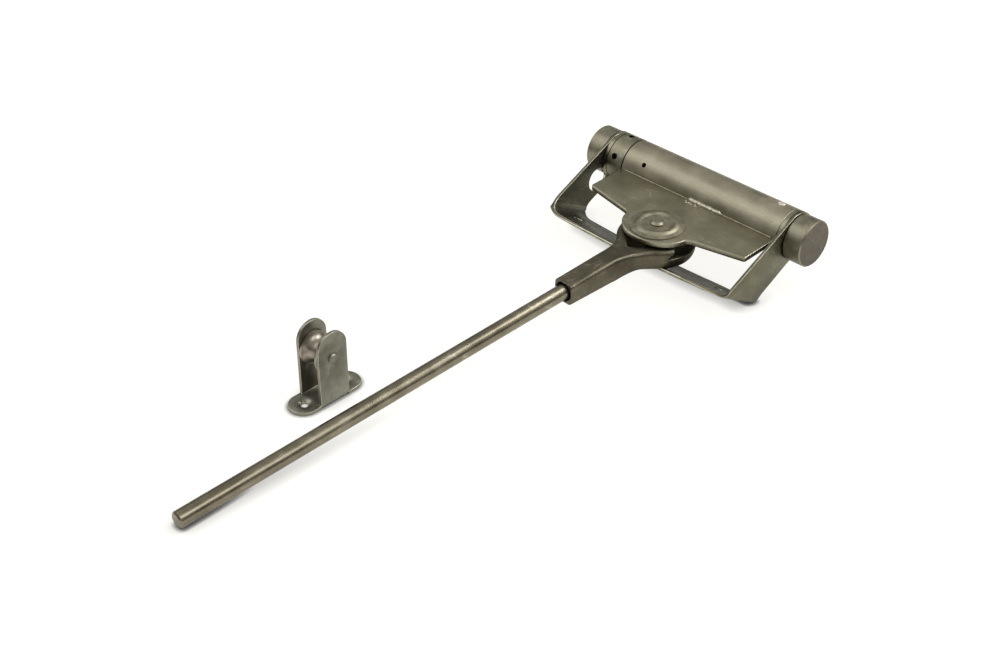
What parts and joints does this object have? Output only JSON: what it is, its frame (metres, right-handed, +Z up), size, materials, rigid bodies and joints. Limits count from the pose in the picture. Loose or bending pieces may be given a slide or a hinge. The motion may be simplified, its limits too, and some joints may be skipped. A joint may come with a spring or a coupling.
{
  "type": "door_closer_spring",
  "caption": "Barrel door closer spring on a bent strap frame, with a welded lever plate, a swivelling fork yoke, a round rod and a loose roller bracket",
  "frame": {"origin": "on the ground, midway between the frame's two arms, in the middle of the whole length", "axes": "+X along the barrel from the tension collar to the pinned end, +Y from the rod's free end towards the barrel, +Z up off the ground"},
  "size_m": [0.1758, 0.4317, 0.0485],
  "materials": {
    "plated_steel": "satin zinc-plated turned steel, warm grey",
    "plated_strap": "satin zinc-plated sheet steel, warm grey",
    "bright_steel": "bright turned steel",
    "spring_steel": "oiled dark spring wire",
    "bush_bronze": "plain sintered bronze",
    "weld_metal": "plated weld bead, uneven"
  },
  "bodies": {
    "frame": {"mounting_frame": "plated_strap", "spindle": "bright_steel", "end_cap_left": "plated_steel", "end_cap_right": "plated_steel", "thrust_washer_left": "bright_steel", "thrust_washer_right": "bright_steel", "roller_bracket": "plated_strap", "roller_pin": "bright_steel"},
    "collar": {"tension_collar": "plated_steel", "collar_bush": "bush_bronze"},
    "lever": {"barrel_tube": "plated_steel", "main_spring": "spring_steel", "barrel_bush": "bush_bronze", "barrel_plug": "plated_steel", "barrel_pin": "bright_steel", "lever_plate": "plated_strap", "plate_welds": "weld_metal", "pivot_washer": "plated_steel", "pivot_spacer": "bright_steel", "lower_washer": "bright_steel", "pivot_rivet": "bright_steel"},
    "rod_arm": {"fork_yoke": "plated_strap", "rod": "plated_steel"},
    "bracket_roller": {"roller": "bright_steel"}
  },
  "joints": [
    {"name": "lever_swing", "type": "hinge", "parent": "frame", "child": "lever", "pos_m": [0, 0.19982, 0.0321], "axis": [-1, 0, 0], "range_deg": [0, 120], "stiffness_Nm_per_rad": 2.5, "springref_deg": -34.38, "deforming": ["main_spring"]},
    {"name": "collar_turn", "type": "hinge", "parent": "frame", "child": "collar", "pos_m": [0, 0.19982, 0.0321], "axis": [1, 0, 0], "range_deg": [0, 216], "deforming": ["main_spring"]},
    {"name": "rod_swivel", "type": "hinge", "parent": "lever", "child": "rod_arm", "pos_m": [0.00647, 0.14602, 0.0321], "axis": [0, 0, 1], "range_deg": [-5, 40]},
    {"name": "roller_spin", "type": "hinge", "parent": "frame", "child": "bracket_roller", "pos_m": [-0.0451, -0.08548, 0.0307], "axis": [1, 0, 0], "continuous": true}
  ]
}
